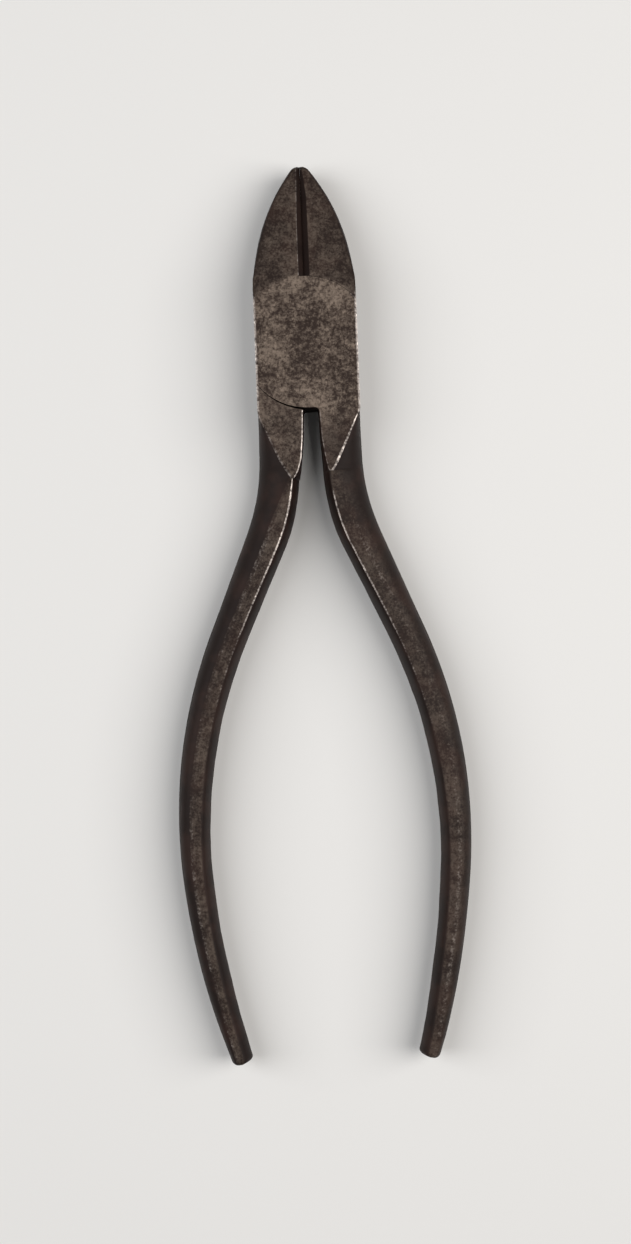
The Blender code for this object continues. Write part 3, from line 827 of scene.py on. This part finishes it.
# %% A helper for materials
class Value:
    """One number that a material works out: a sum written with it adds the Math nodes that do it."""

    def __init__(self, recipe, socket):
        self.recipe, self.socket = recipe, socket

    def math(self, operation, *numbers):
        """A Math node of the numbers or Values given."""
        sockets = dict(enumerate(numbers))
        return Value(self.recipe, self.recipe.node("ShaderNodeMath", {"operation": operation}, sockets))

    def __add__(self, other):
        return self.math("ADD", self, other)

    def __sub__(self, other):
        return self.math("SUBTRACT", self, other)

    def __rsub__(self, other):
        return self.math("SUBTRACT", other, self)

    def __mul__(self, other):
        return self.math("MULTIPLY", self, other)

    __radd__, __rmul__ = __add__, __mul__

    def ramp(self, low, high):
        """0 below low, 1 above high, and smooth between."""
        sockets = {"Value": self, "From Min": low, "From Max": high}
        settings = {"interpolation_type": "SMOOTHSTEP"}
        return Value(self.recipe, self.recipe.node("ShaderNodeMapRange", settings, sockets))


class Recipe:
    """A material's nodes. node() adds any node: its type, its settings, and its sockets' values or links."""

    def __init__(self, name):
        self.material = bpy.data.materials.new(name)
        self.material.use_nodes = True
        self.tree = self.material.node_tree
        self.shader = self.tree.nodes["Principled BSDF"]

    def fill(self, node, sockets):
        """Sets or links a node's sockets, each named by its number, its name or its identifier."""
        for key, value in sockets.items():
            inputs = [s for s in node.inputs if key in (s.identifier, s.name)]
            socket = node.inputs[key] if isinstance(key, int) else inputs[0]
            if isinstance(value, Value):
                value = value.socket
            if isinstance(value, bpy.types.NodeSocket):
                self.tree.links.new(value, socket)
            else:
                socket.default_value = value

    def node(self, kind, settings, sockets, output=None):
        """Adds a node and returns one of its outputs: the named one, or the first that is in use."""
        node = self.tree.nodes.new(kind)
        for key, value in settings.items():
            setattr(node, key, value)
        self.fill(node, sockets)
        return node.outputs[output] if output else next(s for s in node.outputs if s.enabled)

    def noise(self, place, size, detail, rough):
        """A cloudy number that changes over about `size` millimetres."""
        sockets = {"Vector": place, "Scale": 1 / (size * MM), "Detail": detail, "Roughness": rough}
        return Value(self, self.node("ShaderNodeTexNoise", {}, sockets, "Fac"))

    def mix(self, share, one, other):
        """A colour: one where the share is 0, the other where it is 1."""
        sockets = {"Factor_Float": share, "A_Color": one, "B_Color": other}
        return self.node("ShaderNodeMix", {"data_type": "RGBA"}, sockets)


# %% The worn steel
SCALE_DARK = (0.013, 0.0068, 0.0052, 1)  # forge scale
SCALE_BROWN = (0.026, 0.0128, 0.0095, 1)  # and where it rusts
BLOOM_DARK = (0.036, 0.0235, 0.0185, 1)  # ground steel under a brown bloom
BLOOM_LIGHT = (0.222, 0.172, 0.135, 1)
BARE = (0.50, 0.44, 0.40, 1)  # rubbed edges
PAINTED_SHADE_COLOUR = (0.012, 0.006, 0.0045, 1)  # painted shade in the groove


def worn_steel(name):
    """Scale, bloom, painted shade and bare steel laid over each other, each as far as the finish attribute
    says.
    """
    recipe = Recipe(name)
    place = recipe.node("ShaderNodeTexCoord", {}, {}, "Object")
    finish = recipe.node("ShaderNodeVertexColor", {"layer_name": "finish"}, {}, "Color")
    split = recipe.node("ShaderNodeSeparateColor", {}, {"Color": finish}).node
    clean, worn, groove_shade = (Value(recipe, split.outputs[k]) for k in ("Red", "Green", "Blue"))

    # Four sizes of cloud, from wide drifts to dust, make the mottle, and a fifth noise places the rust.
    drift = recipe.noise(place, 5.5, 2.0, 0.5)
    clouds = recipe.noise(place, 1.0, 3.0, 0.6)
    grain = recipe.noise(place, 0.34, 2.0, 0.6)
    dust = recipe.noise(place, 0.16, 1.0, 0.5)
    mottle = (drift * 0.27 + clouds * 0.3 + grain * 0.29 + dust * 0.14).ramp(0.41, 0.62)
    rust = recipe.noise(place, 5.0, 3.0, 0.6).ramp(0.42, 0.66)

    # The layers: ground steel on scale, painted shade on both in the groove, and bare metal on top where an
    # edge is rubbed or a highlight is painted.
    scale = recipe.mix(rust, SCALE_DARK, SCALE_BROWN)
    bloom = recipe.mix(mottle, BLOOM_DARK, BLOOM_LIGHT)
    colour = recipe.mix(clean * (0.75 + 0.25 * mottle), scale, bloom)
    # Painted shade: the groove's bevels are mixed towards a near-black colour.
    colour = recipe.mix(groove_shade * 0.85, colour, PAINTED_SHADE_COLOUR)
    bare = (worn * (1.5 * grain + 1.1 * clouds - 0.35)).ramp(0.34, 0.95)
    colour = recipe.mix(bare, colour, BARE)

    # Bare metal is smoother and more metallic, and all of it has a tooth of a few hundredths of a millimetre.
    height = clouds * 0.3 + grain * 0.5 + dust * 0.2
    bump = recipe.node("ShaderNodeBump", {}, {"Height": height, "Strength": 0.35, "Distance": 0.03 * MM})
    recipe.fill(recipe.shader, {
        "Base Color": colour,
        "Roughness": 0.58 - 0.1 * mottle * clean - 0.26 * bare,
        "Metallic": 0.02 + 0.35 * clean + 0.58 * bare,
        "Normal": bump,
        "Specular IOR Level": 0.17,
    })
    return recipe.material


lever_steel, rivet_steel = worn_steel("worn_lever_steel"), worn_steel("worn_rivet_steel")
print(f"{lever_steel.name}: {len(lever_steel.node_tree.nodes)} nodes")

# %% Each piece gets its steel and its body, and the imported part that it stands for is hidden
SHARP = 38  # degrees: edges that turn more than this stay sharp
for piece, body, node, slot, steel in (
    (upper, "upper", "upper_lever", "lever_steel", lever_steel),
    (lower, "lower", "lower_lever", "lever_steel", lever_steel),
    (rivet, "lower", "pivot_rivet", "rivet_steel", rivet_steel),
):
    piece.data.materials.clear()
    piece.data.materials.append(steel)
    piece.data.shade_smooth()
    piece.data.set_sharp_from_angle(angle=math.radians(SHARP))
    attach(piece, body)
    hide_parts(node)
    print(f"{piece.name} rides on {body} and stands for {node}")

# %% [markdown]
# ## The studio
#
# Dark steel shows its shape by its bright edges, so the lights are wide and soft. One stands high on the
# right and picks out every edge turned towards it, and a weaker one stands on the left, so that the tool
# throws a soft shadow both ways on a pale floor. The air around adds a little light from everywhere.

# %% Floor
FLOOR_REACH = 1.5  # metres from the middle to each side
FLOOR_DROP = 0.05 * MM  # the tool's lowest face doesn't touch it
floor_mesh = bpy.data.meshes.new("floor")
sides = [(x * FLOOR_REACH, y * FLOOR_REACH, 0) for x, y in ((-1, -1), (1, -1), (1, 1), (-1, 1))]
floor_mesh.from_pydata(sides, [], [(0, 1, 2, 3)])
floor = bpy.data.objects.new("floor", floor_mesh)
floor.location.z = -FLOOR_DROP
bpy.context.scene.collection.objects.link(floor)
floor_paint = Recipe("floor_paint")
floor_paint.fill(floor_paint.shader, {
    "Base Color": (0.82, 0.81, 0.79, 1), "Roughness": 0.95, "Specular IOR Level": 0.1,
})
floor_mesh.materials.append(floor_paint.material)
print(f"floor: {2 * FLOOR_REACH:.1f} m square")

# %% Lights
AIM = Vector((0, -0.04, 0))  # metres: the middle of the tool
BOX = (0.34, 0.6)  # metres: width and length of both lamps
AIR = 0.11  # strength of the light from everywhere


def softbox(name, place, power, colour):
    """A wide flat lamp of so many watts at a place in metres, turned to face the tool."""
    light = bpy.data.lights.new(name, "AREA")
    light.shape = "RECTANGLE"
    light.size, light.size_y = BOX
    light.energy, light.color = power, colour
    lamp = bpy.data.objects.new(name, light)
    lamp.location = place
    lamp.rotation_euler = (AIM - Vector(place)).to_track_quat("-Z", "Y").to_euler()
    bpy.context.scene.collection.objects.link(lamp)
    print(f"{name}: {power} W, {(Vector(place) - AIM).length:.2f} m away")


softbox("right_box", (0.36, -0.02, 0.46), 2.8, (1.0, 0.98, 0.96))
softbox("left_box", (-0.38, 0.02, 0.46), 2.05, (0.97, 0.98, 1.0))

world = bpy.data.worlds.new("studio")
world.use_nodes = True
world.node_tree.nodes["Background"].inputs["Color"].default_value = (1, 1, 1, 1)
world.node_tree.nodes["Background"].inputs["Strength"].default_value = AIR
bpy.context.scene.world = world
bpy.context.scene.view_settings.view_transform = "Standard"

# %% [markdown]
# ## The camera
#
# The tool lies flat and is looked at from straight above, a forearm's length away. The lens follows from how
# much of the tool's top face has to fit into the long side of the frame.

# %% Camera
VIEW_CENTRE = (-0.24, -39.35)  # the point of the tool's top that the camera looks at
VIEW_LENGTH = 174.9  # how much of that plane the long side of the frame shows
DISTANCE = 320.0
ROLL = -2.25  # degrees
SENSOR = 36.0

camera_data = bpy.data.cameras.new("camera")
camera_data.sensor_width = SENSOR
camera_data.lens = SENSOR * DISTANCE / VIEW_LENGTH
camera_data.clip_start = 0.01
camera = bpy.data.objects.new("camera", camera_data)
bpy.context.scene.collection.objects.link(camera)
camera.location = (VIEW_CENTRE[0] * MM, VIEW_CENTRE[1] * MM, (THICK + DISTANCE) * MM)
camera.rotation_euler = (0, 0, math.radians(ROLL))
bpy.context.scene.camera = camera
print(f"lens: {camera_data.lens:.1f} mm")
